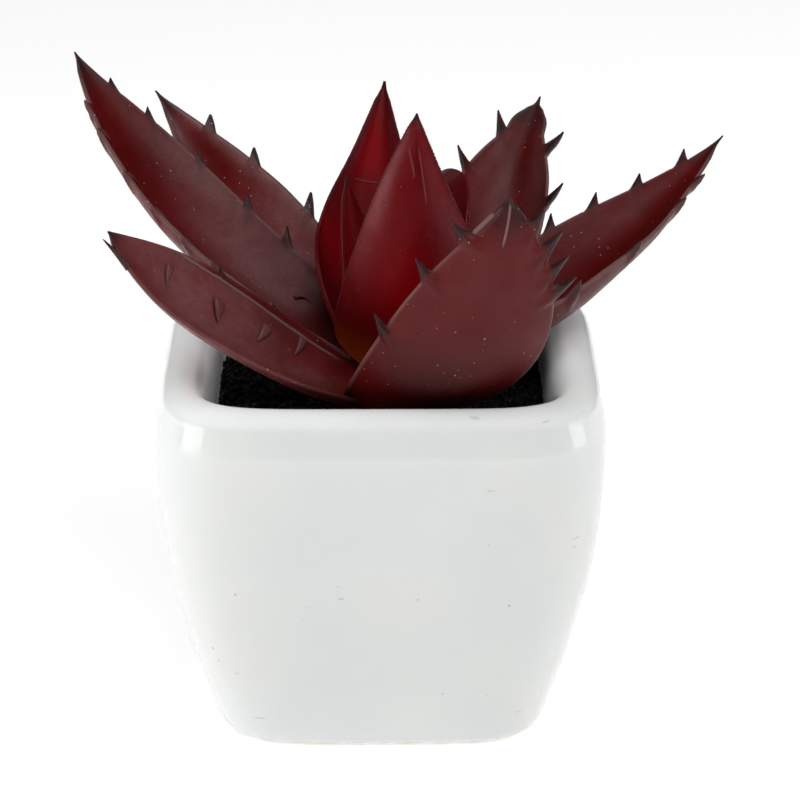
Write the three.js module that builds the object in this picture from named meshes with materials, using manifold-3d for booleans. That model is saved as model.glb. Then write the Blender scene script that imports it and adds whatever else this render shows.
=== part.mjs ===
// Potted spiny-leaved rosette: a square-shouldered glazed pot, a fill of granular soil, a short stem
// and ten channelled leaves with hooked teeth along their margins.
// Millimetres, +Z up, origin at the centre of the pot's flat base. The front of the pot faces -Y.

import * as THREE from "three";
import { mergeVertices } from "three/addons/utils/BufferGeometryUtils.js";
import Module from "manifold-3d";

const wasm = await Module();
wasm.setup();

// ---------------------------------------------------------------- driving dimensions

const GAP = 0.3; // clearance between pieces that touch on the real thing

const POT_HEIGHT = 63.4;
const POT_CORNER = 4.9; // superellipse exponent of the plan: a square with bowed sides and round corners
const THROAT_CORNER = 8; // the same for the opening and the inner wall, which are squarer
const POT_WALL = 5.5;
const POT_FLOOR = 7.5;
// Outer half-widths of the wall, from the foot up to the shoulder under the rim: [height, half-width]
const POT_OUTLINE = [
  [0, 26.3], [0.7, 27.2], [2.5, 28.2], [7.8, 30.1], [14, 32.1], [21, 33.9],
  [30, 36.0], [40, 37.4], [49, 38.0], [55.5, 38.0], [59, 37.3],
];
const RIM_CENTRE = 32.9; // half-width of the middle of the rolled rim
const RIM_HALF_WIDTH = 4.1;
const RIM_RISE = 2.9; // height of the rim's crown above the roll's springing line
const THROAT_HEIGHT = 58.6; // where the rim's roll meets the inner wall
const THROAT_STEP = 0.4; // how far the wall stands back from the roll there
const FLOOR_COVE = 1; // rounding between the inner wall and the floor
const RIM_STEPS = 7;
const POT_SEGMENTS = 48;

const SOIL_LEVEL = 54;
const SOIL_RINGS = 8;
const SOIL_SEGMENTS = 48;
const SOIL_LUMP = 0.45; // height of the lumps on top
const SOIL_SHOULDER = 1; // how far below the level the fill leaves the wall
const SOIL_EDGE = 0.98; // the outermost and the innermost ring on top, as shares of the fill's half-width
const SOIL_CENTRE = 0.1;
const SOIL_SEED = 11;

const STEM_X = 1.5;
const STEM_Y = 0;
const STEM_RADIUS = 3.4;
const STEM_SHOULDER_RADIUS = 2.4;
const STEM_TIP_RADIUS = 1;
const STEM_BOTTOM = 40;
const STEM_TOP = 63;
const STEM_DOME = 2; // height of the rounding over the shoulder
const STEM_SIDES = 16;
const CROWN_HOLE_RADIUS = 8; // the mouth of the hole in the soil that the crown sits in
const CROWN_HOLE_DEPTH = 5;

const LEAF_STATIONS = 20; // steps along a leaf
const LEAF_SPANS = 6; // steps across each face of a leaf
const EDGE_THICKNESS = 0.7; // of the blade at its margins
const EDGE_FADE_WIDTH = 1.2; // narrower than this half-width, the blade's edge thins towards the spine
const THICKNESS_POWER = 0.7; // how the blade's thickness follows its width
const SPINE_HALF_WIDTH = 0.35; // the needle at a leaf's tip
const SPINE_TAPER = 0.6;
const ROOT_HALF_WIDTH = 2.2; // the tongue that joins a leaf to the stem
const ROOT_THICKNESS = 2;
const ROOT_DROP = 0.5; // how far the tongue falls from the blade's root to the stem

const TOOTH_LENGTH = 4;
const TOOTH_SUNK = 1.2; // how far a tooth's root is buried in the blade
const TOOTH_HALF_BASE = 1.3;
const TOOTH_HALF_THICKNESS = 0.55;
const TOOTH_FULL_SIZE_WIDTH = 5; // on a narrower half-width of blade the teeth get smaller
const TOOTH_LEAST_SIZE = 0.75;
const TOOTH_POINT = 0.12; // half the thickness of a tooth's point
// The hook of a tooth: [distance out, distance forward] as shares of its length, and share of its base
const TOOTH_HOOK = [[0.03, 0.03, 0.9], [0.5, 0.18, 0.45], [0.86, 0.5, 0.08]];

const LEAF_COLOUR = 0x4a0b0f;
const INNER_LEAF_COLOUR = 0x650810;

// Each leaf grows from "root" [x, y, z] beside the stem. "heading" is its compass direction in degrees
// from +X towards +Y and "sweep" the turn of that direction along it. It climbs at "rise" degrees at
// the root, changing evenly to the second value at the tip. "channel" is half the angle that its cross
// section spans, at the root and at the tip. "roll" turns it about its own length, at the root and tip.
// "taper" holds the exponents of the outline beyond "belly", the widest station. "teeth" lists the
// stations of the teeth on the left and right margins, seen from the root.
const LEAVES = [
  {
    name: "inner_leaf_front", root: [5.4, -3, 59], heading: 278, sweep: -32, rise: [48.5, 104.5],
    length: 53, halfWidth: 13.8, baseRatio: 0.55, belly: 0.21, taper: [1.55, 1.05],
    channel: [40, 15], roll: [5, 6], thickness: 2, colour: INNER_LEAF_COLOUR,
    teeth: [[], []],
  },
  {
    name: "leaf_front_right", root: [-0.8, -10.9, 56.9], heading: 296, sweep: 31.5, rise: [14.5, 89],
    length: 61, halfWidth: 12.8, baseRatio: 0.44, belly: 0.45, taper: [2.45, 1.1],
    channel: [12, 18], roll: [-12, -56.5], thickness: 2.4, colour: LEAF_COLOUR,
    teeth: [[0.76, 0.825, 0.88, 0.94], [0.48, 0.725, 0.88]],
  },
  {
    name: "leaf_front_left", root: [1, -9, 56.4], heading: 205.5, sweep: -28, rise: [25, 45.5],
    length: 58, halfWidth: 10.2, baseRatio: 0.42, belly: 0.39, taper: [2.8, 1.1],
    channel: [31, 19], roll: [-10.5, -26.5], thickness: 2.4, colour: LEAF_COLOUR,
    teeth: [[0.37, 0.5, 0.63, 0.76, 0.88], [0.4, 0.62]],
  },
  {
    name: "leaf_left", root: [-3.7, 3.2, 59], heading: 155.5, sweep: -9, rise: [23.5, 57],
    length: 75.5, halfWidth: 10.7, baseRatio: 0.45, belly: 0.3, taper: [3, 1.3],
    channel: [65, 25], roll: [-1.5, -4.5], thickness: 2.4, colour: LEAF_COLOUR,
    teeth: [[0.355, 0.45, 0.555, 0.665, 0.785, 0.86], [0.33, 0.46, 0.625, 0.785, 0.9]],
  },
  {
    name: "leaf_right", root: [7.5, -1.7, 56.5], heading: 22.5, sweep: 22, rise: [25.5, 30.5],
    length: 73, halfWidth: 12.5, baseRatio: 0.45, belly: 0.31, taper: [2.05, 1.5],
    channel: [69, 22], roll: [-1, 0.5], thickness: 2.4, colour: LEAF_COLOUR,
    teeth: [[0.52, 0.65, 0.77, 0.89], [0.365, 0.555, 0.725, 0.81]],
  },
  {
    name: "inner_leaf_back", root: [-2.7, 3.4, 63.1], heading: 89, sweep: -8.5, rise: [36, 47.5],
    length: 53, halfWidth: 13.4, baseRatio: 0.5, belly: 0.29, taper: [1.25, 1.25],
    channel: [74, 80], roll: [11, 16.5], thickness: 2, colour: INNER_LEAF_COLOUR,
    teeth: [[], []],
  },
  {
    name: "leaf_back_right", root: [11.8, 5.5, 56.8], heading: 77, sweep: -9.5, rise: [23, 36],
    length: 68, halfWidth: 9.8, baseRatio: 0.4, belly: 0.48, taper: [2.4, 1.6],
    channel: [62, 46], roll: [19, 2.5], thickness: 2.4, colour: LEAF_COLOUR,
    teeth: [[0.68, 0.855], [0.605, 0.8]],
  },
  {
    name: "leaf_back_left", root: [-3.6, 7.9, 57.8], heading: 122, sweep: 7.5, rise: [24, 31],
    length: 73.5, halfWidth: 8.4, baseRatio: 0.4, belly: 0.37, taper: [2, 1.4],
    channel: [47, 38], roll: [-15.5, -35.5], thickness: 2.4, colour: LEAF_COLOUR,
    teeth: [[0.5, 0.68, 0.86], [0.43, 0.64, 0.81]],
  },
  {
    name: "inner_leaf_small", root: [-1.6, 1.4, 60], heading: 130.5, sweep: 0.5, rise: [74.5, 82.5],
    length: 32, halfWidth: 5, baseRatio: 0.6, belly: 0.3, taper: [1.6, 1.1],
    channel: [60, 40], roll: [0, 0], thickness: 1.4, colour: INNER_LEAF_COLOUR,
    teeth: [[], []],
  },
  {
    name: "leaf_back", root: [1.7, 9.7, 59.9], heading: 87.5, sweep: 2, rise: [56, -35],
    length: 61.5, halfWidth: 12.1, baseRatio: 0.4, belly: 0.44, taper: [2.2, 1.1],
    channel: [44, 38], roll: [-3.5, -9], thickness: 2.4, colour: LEAF_COLOUR,
    teeth: [[0.55, 0.68, 0.82], [0.5, 0.63, 0.77]],
  },
];

// ---------------------------------------------------------------- solids

const radians = THREE.MathUtils.degToRad;
const mix = (pair, s) => pair[0] + (pair[1] - pair[0]) * s;

/** A closed geometry through rings of points, all with the same count, capped flat at both ends. */
function loftRings(rings) {
  const count = rings[0].length;
  const positions = rings.flat().flatMap((p) => [p.x, p.y, p.z]);
  const faces = [];
  for (let r = 0; r + 1 < rings.length; r++) {
    for (let i = 0; i < count; i++) {
      const a = r * count + i;
      const b = r * count + ((i + 1) % count);
      faces.push(a, b, b + count, a, b + count, a + count);
    }
  }
  const last = (rings.length - 1) * count;
  for (let i = 1; i + 1 < count; i++) {
    faces.push(0, i + 1, i);
    faces.push(last, last + i, last + i + 1);
  }
  const geometry = new THREE.BufferGeometry();
  geometry.setAttribute("position", new THREE.Float32BufferAttribute(positions, 3));
  geometry.setIndex(faces);
  return geometry;
}

/** A closed geometry as a solid that can be joined and cut. */
function toSolid(geometry) {
  geometry.deleteAttribute("normal");
  geometry.deleteAttribute("uv");
  const merged = mergeVertices(geometry, 1e-4);
  return new wasm.Manifold(new wasm.Mesh({
    numProp: 3,
    vertProperties: Float32Array.from(merged.attributes.position.array),
    triVerts: Uint32Array.from(merged.index.array),
  }));
}

/** The largest connected piece of a solid, as a geometry with flat-shaded faces. */
function toGeometry(solid) {
  const pieces = solid.decompose().sort((a, b) => b.volume() - a.volume());
  const mesh = pieces[0].getMesh();
  const geometry = new THREE.BufferGeometry();
  geometry.setAttribute("position", new THREE.Float32BufferAttribute(mesh.vertProperties, 3));
  geometry.setIndex(Array.from(mesh.triVerts));
  geometry.computeVertexNormals();
  return geometry;
}

function namedMesh(name, geometry, material) {
  const mesh = new THREE.Mesh(geometry, new THREE.MeshStandardMaterial(material));
  mesh.name = name;
  return mesh;
}

/** Repeatable pseudo-random numbers from 0 to 1. */
function seededRandom(seed) {
  let state = seed;
  return () => {
    state = (state * 1664525 + 1013904223) % 4294967296;
    return state / 4294967296;
  };
}

// ---------------------------------------------------------------- pot

/** A level superellipse with that exponent for its corners, counter-clockwise seen from above. */
function planRing(halfWidth, height, segments, corner) {
  const ring = [];
  for (let i = 0; i < segments; i++) {
    const angle = (i / segments) * Math.PI * 2;
    const c = Math.cos(angle);
    const s = Math.sin(angle);
    const power = Math.abs(c) ** corner + Math.abs(s) ** corner;
    const radius = halfWidth * power ** (-1 / corner);
    ring.push(new THREE.Vector3(radius * c, radius * s, height));
  }
  return ring;
}

function potInnerOutline() {
  const belowRim = POT_OUTLINE.filter(([height]) => height > POT_FLOOR && height < THROAT_HEIGHT - 1);
  return belowRim.map(([height, halfWidth]) => [height, halfWidth - POT_WALL]);
}

function makePot() {
  const ring = ([height, halfWidth], corner) => planRing(halfWidth, height, POT_SEGMENTS, corner);
  const rings = POT_OUTLINE.map((level) => ring(level, POT_CORNER));
  const springing = POT_HEIGHT - RIM_RISE;
  for (let i = 0; i <= RIM_STEPS; i++) {
    const angle = (i / RIM_STEPS) * Math.PI;
    const level = [springing + RIM_RISE * Math.sin(angle), RIM_CENTRE + RIM_HALF_WIDTH * Math.cos(angle)];
    rings.push(ring(level, mix([POT_CORNER, THROAT_CORNER], Math.max(-Math.cos(angle), 0))));
  }
  const inner = potInnerOutline().reverse();
  const throat = [THROAT_HEIGHT, RIM_CENTRE - RIM_HALF_WIDTH + THROAT_STEP];
  const floor = [POT_FLOOR, inner.at(-1)[1] - FLOOR_COVE];
  [throat, ...inner, floor].forEach((level) => rings.push(ring(level, THROAT_CORNER)));
  return toGeometry(toSolid(loftRings(rings)));
}

// ---------------------------------------------------------------- soil and stem

/** A solid turned about the stem's axis, from [radius, height] pairs that start and end on the axis. */
function turnedSolid(profile) {
  const points = profile.map(([radius, height]) => new THREE.Vector2(radius, height));
  const geometry = new THREE.LatheGeometry(points, STEM_SIDES);
  geometry.rotateX(Math.PI / 2);
  geometry.translate(STEM_X, STEM_Y, 0);
  return toSolid(geometry);
}

/** A fill that follows the pot's inner wall, with a lumpy top and a plain hole for the crown. */
function makeSoil() {
  const wall = potInnerOutline().filter(([height]) => height < SOIL_LEVEL - SOIL_SHOULDER);
  const rings = wall.map(([height, halfWidth]) => (
    planRing(halfWidth - GAP, height, SOIL_SEGMENTS, THROAT_CORNER)
  ));
  const edge = wall.at(-1)[1] - GAP;
  const random = seededRandom(SOIL_SEED);
  for (let r = 0; r < SOIL_RINGS; r++) {
    const share = mix([SOIL_EDGE, SOIL_CENTRE], r / (SOIL_RINGS - 1));
    const ring = planRing(edge * share, SOIL_LEVEL, SOIL_SEGMENTS, THROAT_CORNER);
    ring.forEach((point) => {
      point.z += (random() * 2 - 1) * SOIL_LUMP;
    });
    rings.push(ring);
  }
  const hole = turnedSolid([
    [0, STEM_BOTTOM - GAP],
    [STEM_RADIUS + GAP, STEM_BOTTOM - GAP],
    [STEM_RADIUS + GAP, SOIL_LEVEL - CROWN_HOLE_DEPTH],
    [CROWN_HOLE_RADIUS, SOIL_LEVEL - SOIL_SHOULDER],
    [CROWN_HOLE_RADIUS + 1, SOIL_LEVEL + 2],
    [0, SOIL_LEVEL + 2],
  ]);
  return toGeometry(toSolid(loftRings(rings)).subtract(hole));
}

/** The stem, as a cone with a domed tip, made larger all round by "grow". */
function stemSolid(grow) {
  return turnedSolid([
    [0, STEM_BOTTOM - grow],
    [STEM_RADIUS + grow, STEM_BOTTOM - grow],
    [STEM_RADIUS + grow, SOIL_LEVEL],
    [STEM_SHOULDER_RADIUS + grow, STEM_TOP - STEM_DOME + grow],
    [STEM_TIP_RADIUS + grow, STEM_TOP - STEM_DOME / 5 + grow],
    [0, STEM_TOP + grow],
  ]);
}

// ---------------------------------------------------------------- leaves

/** Half the width of a blade at station s, from 0 at the root to 1 at the tip. */
function bladeHalfWidth(leaf, s) {
  let share;
  if (s < leaf.belly) {
    share = 1 - (1 - leaf.baseRatio) * ((leaf.belly - s) / leaf.belly) ** 2;
  } else {
    share = Math.max(1 - ((s - leaf.belly) / (1 - leaf.belly)) ** leaf.taper[0], 0) ** leaf.taper[1];
  }
  return leaf.halfWidth * share + SPINE_HALF_WIDTH * (1 - SPINE_TAPER * s);
}

/** The point, direction, left-hand side and upper normal of the midrib at each station. */
function midrib(leaf) {
  const frames = [];
  const point = new THREE.Vector3(...leaf.root);
  const step = leaf.length / LEAF_STATIONS;
  const directionAt = (s) => {
    const heading = radians(leaf.heading + leaf.sweep * s);
    const rise = radians(mix(leaf.rise, s));
    return new THREE.Vector3(
      Math.cos(rise) * Math.cos(heading),
      Math.cos(rise) * Math.sin(heading),
      Math.sin(rise),
    );
  };
  for (let i = 0; i <= LEAF_STATIONS; i++) {
    const s = i / LEAF_STATIONS;
    const heading = radians(leaf.heading + leaf.sweep * s);
    const along = directionAt(s);
    const level = new THREE.Vector3(-Math.sin(heading), Math.cos(heading), 0);
    const upper = new THREE.Vector3().crossVectors(along, level);
    const roll = radians(mix(leaf.roll, s));
    const side = level.clone().multiplyScalar(Math.cos(roll)).addScaledVector(upper, Math.sin(roll));
    const normal = upper.multiplyScalar(Math.cos(roll)).addScaledVector(level, -Math.sin(roll));
    frames.push({ s, point: point.clone(), along, side, normal });
    point.addScaledVector(directionAt(s + 0.5 / LEAF_STATIONS), step);
  }
  return frames;
}

/** One station's upper face point and outward directions at "across", -1 right margin to 1 left. */
function sectionPoint(leaf, frame, across, halfWidth) {
  const halfAngle = radians(mix(leaf.channel, frame.s));
  const angle = across * halfAngle;
  const radius = halfWidth / halfAngle;
  const point = frame.point.clone()
    .addScaledVector(frame.side, radius * Math.sin(angle))
    .addScaledVector(frame.normal, radius * (1 - Math.cos(angle)));
  const normal = frame.normal.clone().multiplyScalar(Math.cos(angle))
    .addScaledVector(frame.side, -Math.sin(angle));
  const outward = frame.side.clone().multiplyScalar(Math.cos(angle))
    .addScaledVector(frame.normal, Math.sin(angle));
  return { point, normal, outward };
}

/** A ring round the blade: along the lower face from right to left, back along the upper face. */
function sectionRing(leaf, frame, grow) {
  const halfWidth = bladeHalfWidth(leaf, frame.s) + grow;
  const fullness = Math.min(halfWidth / leaf.halfWidth, 1) ** THICKNESS_POWER;
  const edge = EDGE_THICKNESS * THREE.MathUtils.clamp(halfWidth / EDGE_FADE_WIDTH, 0.45, 1);
  const upper = [];
  const lower = [];
  for (let i = 0; i <= LEAF_SPANS; i++) {
    const across = (i / LEAF_SPANS) * 2 - 1;
    const { point, normal } = sectionPoint(leaf, frame, across, halfWidth);
    const depth = leaf.thickness * (1 - across ** 2) * fullness + edge;
    lower.push(point.clone().addScaledVector(normal, -depth - grow));
    upper.push(point.addScaledVector(normal, grow));
  }
  return [...lower, ...upper.reverse()];
}

/** The narrow tongue of the blade that reaches the stem. */
function rootRing(leaf, grow) {
  const heading = radians(leaf.heading);
  const side = new THREE.Vector3(-Math.sin(heading), Math.cos(heading), 0);
  const centre = new THREE.Vector3(STEM_X, STEM_Y, leaf.root[2] - ROOT_DROP);
  const upper = [];
  const lower = [];
  for (let i = 0; i <= LEAF_SPANS; i++) {
    const offset = side.clone().multiplyScalar(((i / LEAF_SPANS) * 2 - 1) * (ROOT_HALF_WIDTH + grow));
    const point = centre.clone().add(offset);
    upper.push(point.clone().setZ(point.z + grow));
    lower.push(point.setZ(point.z - ROOT_THICKNESS - grow));
  }
  return [...lower, ...upper.reverse()];
}

/** A hooked tooth on a margin, flattened like the blade and leaning towards the leaf's tip. */
function toothSolid(leaf, frame, marginSide, grow) {
  const halfWidth = bladeHalfWidth(leaf, frame.s);
  const { point, normal, outward } = sectionPoint(leaf, frame, marginSide, halfWidth);
  outward.multiplyScalar(marginSide);
  const size = THREE.MathUtils.clamp(halfWidth / TOOTH_FULL_SIZE_WIDTH, TOOTH_LEAST_SIZE, 1);
  const root = point.addScaledVector(normal, -EDGE_THICKNESS / 2);
  const buried = [-TOOTH_SUNK / TOOTH_LENGTH, 0, 1];
  const rings = [buried, ...TOOTH_HOOK].map(([out, forward, taper]) => {
    const centre = root.clone().addScaledVector(outward, out * TOOTH_LENGTH * size);
    centre.addScaledVector(frame.along, forward * TOOTH_LENGTH * size);
    const a = TOOTH_HALF_BASE * taper * size + grow;
    const b = Math.max(TOOTH_HALF_THICKNESS * Math.sqrt(taper) * size, TOOTH_POINT) + grow;
    const corners = [
      centre.clone().addScaledVector(frame.along, a),
      centre.clone().addScaledVector(normal, b),
      centre.clone().addScaledVector(frame.along, -a),
      centre.clone().addScaledVector(normal, -b),
    ];
    return marginSide > 0 ? corners.reverse() : corners;
  });
  return toSolid(loftRings(rings));
}

/** The frame at any station, between the two nearest of the midrib's own. */
function frameAt(frames, s) {
  const at = s * LEAF_STATIONS;
  const low = Math.min(Math.floor(at), LEAF_STATIONS - 1);
  const t = at - low;
  const a = frames[low];
  const b = frames[low + 1];
  return {
    s,
    point: a.point.clone().lerp(b.point, t),
    along: a.along.clone().lerp(b.along, t).normalize(),
    side: a.side.clone().lerp(b.side, t).normalize(),
    normal: a.normal.clone().lerp(b.normal, t).normalize(),
  };
}

/** A leaf with its teeth, made larger all round by "grow". */
function leafSolid(leaf, grow) {
  const frames = midrib(leaf);
  const rings = frames.map((frame) => sectionRing(leaf, frame, grow));
  let solid = toSolid(loftRings([rootRing(leaf, grow), ...rings]));
  [1, -1].forEach((marginSide, index) => {
    leaf.teeth[index].forEach((s) => {
      solid = solid.add(toothSolid(leaf, frameAt(frames, s), marginSide, grow));
    });
  });
  return solid;
}

// ---------------------------------------------------------------- assembly

const part = new THREE.Group();

part.add(namedMesh("pot", makePot(), { color: 0xe9ebec, roughness: 0.12, metalness: 0 }));
part.add(namedMesh("soil", makeSoil(), { color: 0x0d0c0c, roughness: 0.9, metalness: 0 }));
part.add(namedMesh("stem", toGeometry(stemSolid(0)), { color: 0x5a0d10, roughness: 0.5, metalness: 0 }));

// Each leaf gives way, by the gap, to the stem and to the leaves listed before it.
let occupied = stemSolid(GAP);
for (const leaf of LEAVES) {
  const solid = leafSolid(leaf, 0).subtract(occupied);
  occupied = occupied.add(leafSolid(leaf, GAP));
  part.add(namedMesh(leaf.name, toGeometry(solid), { color: leaf.colour, roughness: 0.38, metalness: 0 }));
}

export default part;
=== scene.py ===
"""Looks of the potted spiny rosette: glazed rounded-square pot, black granular soil and ten
channelled burgundy leaves with hooked teeth. Lengths are in millimetres until a mesh is made."""

import math

import bpy
import numpy as np
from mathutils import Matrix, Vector


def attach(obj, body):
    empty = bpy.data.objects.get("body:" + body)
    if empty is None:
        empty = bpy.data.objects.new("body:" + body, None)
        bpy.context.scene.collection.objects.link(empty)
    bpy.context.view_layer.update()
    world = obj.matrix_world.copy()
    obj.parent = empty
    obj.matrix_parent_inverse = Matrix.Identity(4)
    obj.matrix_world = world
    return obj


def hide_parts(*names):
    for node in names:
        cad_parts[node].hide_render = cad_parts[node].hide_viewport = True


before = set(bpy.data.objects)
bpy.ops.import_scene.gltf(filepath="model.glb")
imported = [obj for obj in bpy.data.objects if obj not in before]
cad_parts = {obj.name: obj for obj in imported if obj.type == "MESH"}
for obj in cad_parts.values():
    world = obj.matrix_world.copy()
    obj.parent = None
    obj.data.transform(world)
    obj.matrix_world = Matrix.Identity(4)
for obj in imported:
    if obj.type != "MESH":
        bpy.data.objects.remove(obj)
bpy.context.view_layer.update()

MM = 0.001

# ------------------------------------------------------------------ camera

CAMERA_DISTANCE = 600.0
CAMERA_ELEVATION = math.radians(20.66)
CAMERA_TARGET_HEIGHT = 50.0
AIM_RIGHT = 3.32  # the frame's centre, to the right of and above the target
AIM_UP = 2.87
SENSOR_WIDTH = 36.0
LENS = 156.12

# ------------------------------------------------------------------ pot

POT_CORNER = 4.9  # superellipse exponent of the plan: a square with bowed sides and round corners
THROAT_CORNER = 8.0  # the same for the opening and the inner wall, which are squarer
POT_SEGMENTS = 240
POT_OUTER = [(0, 25.2), (0.25, 26.3), (0.9, 27.3), (2.5, 28.3), (7.8, 30.1), (14, 32.1), (21, 33.9),
             (30, 36.0), (40, 37.4), (49, 38.0), (55.5, 38.0), (58.8, 37.4)]
RIM_SPRING = 60.5
RIM_CENTRE = 32.9
RIM_HALF_WIDTH = 4.1
RIM_RISE = 2.9
RIM_SLOPE = [(63.2, 31.5), (62.45, 30.2), (61.2, 29.2), (59.2, 28.5)]  # its long inner side
RIM_STEPS = 8
POT_INNER = [(56, 28.1), (50, 28.0), (45, 29.6), (40, 31.0), (30, 30.5), (14, 26.6), (8.5, 24.6),
             (7.5, 23.0)]
FLOOR_CAP = 3.0  # half-width of the flat that closes the floor inside
CORNER_CROWDING = -0.45  # how much closer together the plan's points are at its corners
PROFILE_STEP = 0.6
FOOT_RECESS = 0.35  # height of the hollow inside the foot
FOOT_STAND = 2  # from the foot's edge in to where the hollow starts, and to where it is full
FOOT_SLOPE_END = 4
RECESS_CAP = 4  # half-width of the flat that closes the hollow

# ------------------------------------------------------------------ soil and stem

SOIL_LEVEL = 54.0
SOIL_HALF_WIDTH = 28.7
SOIL_BOTTOM = 44.0
SOIL_CELLS = 110
SOIL_FOOT = 0.95  # the bed's lowest two rings, as shares of its half-width
SOIL_WALL = 0.985
SOIL_SHOULDER = 2.0  # how far below the level the bed leaves the wall
SOIL_TOP_RINGS = (0.99, 0.03)  # the outermost and the innermost ring on top, as shares
SOIL_BED = 0.55  # how far the bed lies below the level
# Waves of the bed as (height, radians per millimetre along x and y, start)
SOIL_WAVES = ((0.25, 0.9, 0.3, 0), (0.2, -0.7, 0.5, 1), (0.15, 0.4, 1.7, 0))
SOIL_WAVE_SHARE = 0.6
SOIL_GRIT = 0.08  # random height of the bed's points
CROWN_HOLE_DEPTH = 3.0
CROWN_HOLE_SPREAD = 60
GRAIN_COUNT = 3400
GRAIN_RADIUS = (0.35, 0.8)
GRAIN_STRETCH = (0.7, 1.3)
GRAIN_CORNERS = (0.75, 1.15)  # how far a grain's corners reach, as shares of its radius
GRAIN_LIFT = (-0.2, 0.5)  # from the bed to a grain's middle
GRAIN_CLEARANCE = 0.9  # from the fill's edge in to the outermost grain's middle
GRAIN_SEED = 5

# ------------------------------------------------------------------ leaves

EDGE_THICKNESS = 0.62
EDGE_FADE_WIDTH = 1.2  # narrower than this half-width, the blade's edge thins towards the spine
EDGE_LEAST = 0.35  # and this is the least share of its thickness
EDGE_BULGE = 0.6  # roundness of the margin, as a share of its half-thickness
THICKNESS_POWER = 0.7  # how the blade's thickness follows its width
BLUNT_RISE = (0.85, 0.08)  # where a blunt leaf's swelling starts and how long it takes, as stations
BLUNT_FALL = (0.952, 0.022)  # the same for its end
SPINE_HALF_WIDTH = 0.3
SPINE_TAPER = 0.85
BLADE_STATIONS = 150
TIP_STATIONS = 40
TOOTH_STATIONS = 26
STATION_CROWDING = 1.6  # of the stations round a tooth, towards its point
STATION_LEAST_STEP = 2e-4
RIB_STEPS = 2000  # steps of the integration along a midrib
# Columns across half a face, as shares of the half-width from the midrib to the margin
COLUMNS = [0, 0.12, 0.25, 0.37, 0.48, 0.58, 0.66, 0.73, 0.79, 0.84, 0.88, 0.91, 0.937, 0.96, 0.98, 1]
TOOTH_REACH_IN = 2.4  # how far inside the margin a tooth starts to rise
TOOTH_FADE_POWER = 1.4
TOOTH_SHARPNESS = 1.6
TOOTH_HALF_BASE = 1.55
TOOTH_LEAST_BASE = 0.45  # a short tooth's base, as a share, and the length that adds one whole share
TOOTH_FULL_LENGTH = 5
TOOTH_BLUNTING = 1.2  # cuts a tooth's very point
TOOTH_HOOK = 0.12  # how far its point turns forward, as a share of its length
TOOTH_HALF_THICKNESS = 0.62
TOOTH_LEAST_THICKNESS = 0.03
TOOTH_THIN_BELOW = 0.8  # narrower than this half-base it thins, by this power
TOOTH_THIN_POWER = 0.8
TOOTH_BLEND = 0.5  # either side of the margin, where blade turns into tooth
TOOTH_DARK = (-1.0, 2.2)  # where it starts to darken, out from the margin, and over what length
TOOTH_ROOT_LENGTH = 4.2  # of the ridge that a tooth leaves on the outer face
TOOTH_ROOT_HEIGHT = 0.45
TOOTH_ROOT_WIDTH = 0.75
TOOTH_ROOT_LEAN = 0.5
TOOTH_ROOT_DARKNESS = 0.45
SERRATION_PITCH = 0.5
SERRATION_SAMPLING = 0.11
SERRATION_SIZES = (0.2, 1.6)
SERRATION_DRIFT = (0.3, 90)  # unevenness of its pitch, and its turns along the leaf in radians
SERRATION_DEPTH = 0.7  # how far inside the margin it starts
SERRATION_FULL_WIDTH = 2
SERRATION_FROM = (0.35, 0.2)
SERRATION_SEED = 3
WAVE_HEIGHTS = (0.12, 0.08)  # of a blade's two slow waves
WAVE_FADE_WIDTH = 1.5
THORN_RINGS = 16
THORN_SIDES = 12
WELT_FULLNESS = 3  # how fast a welt rises at its ends, and how thin they are
WELT_END = 0.08
WELT_HEIGHT = 0.8  # as a share of its half-width
CLAW_ROOT = 0.12  # share of a claw's length in which it reaches its width
CLAW_TAPER = 0.8
CLAW_LIFT = 0.42  # how far it leaves the face, as a share of its half-width
CLAW_SUNK = 0.8
CLAW_HEIGHT = 0.55
SPIKE_BEND = 0.15
SPIKE_SUNK = 3  # steps of its path that are buried in the blade
SPIKE_TAPER = (0.75, 0.93)  # power, and share of the radius that tapers off
SPIKE_HEIGHT = 0.8
SPIKE_SPREAD = 0.08  # its length in stations, for its colour
DARK_FROM = 0.85  # the station where the dark tip starts, on outer and on inner leaves
INNER_DARK_FROM = 0.94
# the line along a margin is a painted highlight on outer leaves, and the margin's own dark colour on inner
# ones
RIM_WIDTH = 0.5  # of the pale line along a margin
RIM_STRENGTH = 0.5
# how far up the base its amber colour and painted glow reach
AMBER_GLOW_REACH = 0.3
# painted shade: where the deep red strip along a margin ends, and over how many stations it fades
FLANGE_END = (0.75, 0.1)
# how much of the margin's painted highlight welts on outer leaves get
WELT_HIGHLIGHT = 0.6
CLAW_DARK = 0.22
SPIKE_DARK = 0.8
MARK_SHADE = 0.7
TINY = 1e-3
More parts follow.
